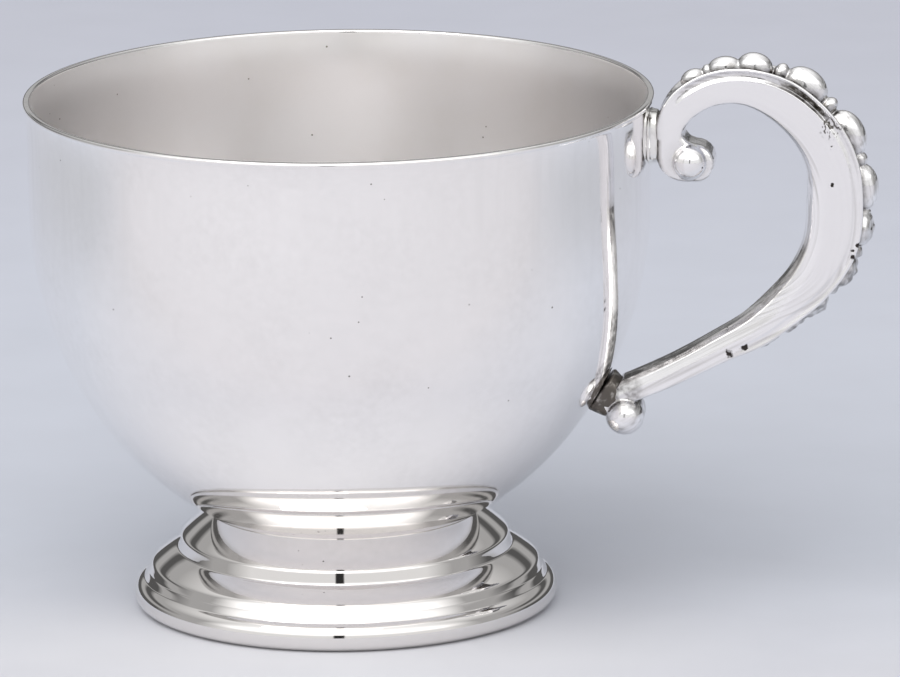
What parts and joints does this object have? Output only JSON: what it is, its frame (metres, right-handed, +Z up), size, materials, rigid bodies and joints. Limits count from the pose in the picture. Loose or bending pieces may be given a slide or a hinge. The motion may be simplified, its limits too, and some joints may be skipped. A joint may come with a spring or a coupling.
{
  "type": "punch cup",
  "caption": "Footed punch cup: round open bowl with a turned-out lip, a stepped spreading foot and a cast scroll handle for a finger.",
  "frame": {"origin": "on the surface that the cup stands on, under the middle of the whole cup, handle included", "axes": "+X towards the handle, +Y across the cup, +Z up along the bowl's axis"},
  "size_m": [0.108, 0.08, 0.0709],
  "materials": {
    "polished_plate": "mirror polished silver plate, fine scratches, satin inside the bowl",
    "cast_plate": "cast and polished silver plate, softly worn, with a few casting pits",
    "solder": "soft solder under plate, tarnished at its edges"
  },
  "bodies": {
    "root": {"bowl": "polished_plate", "foot": "polished_plate", "foot_solder": "solder", "handle": "cast_plate", "upper_handle_solder": "solder", "lower_handle_solder": "solder"}
  },
  "joints": []
}
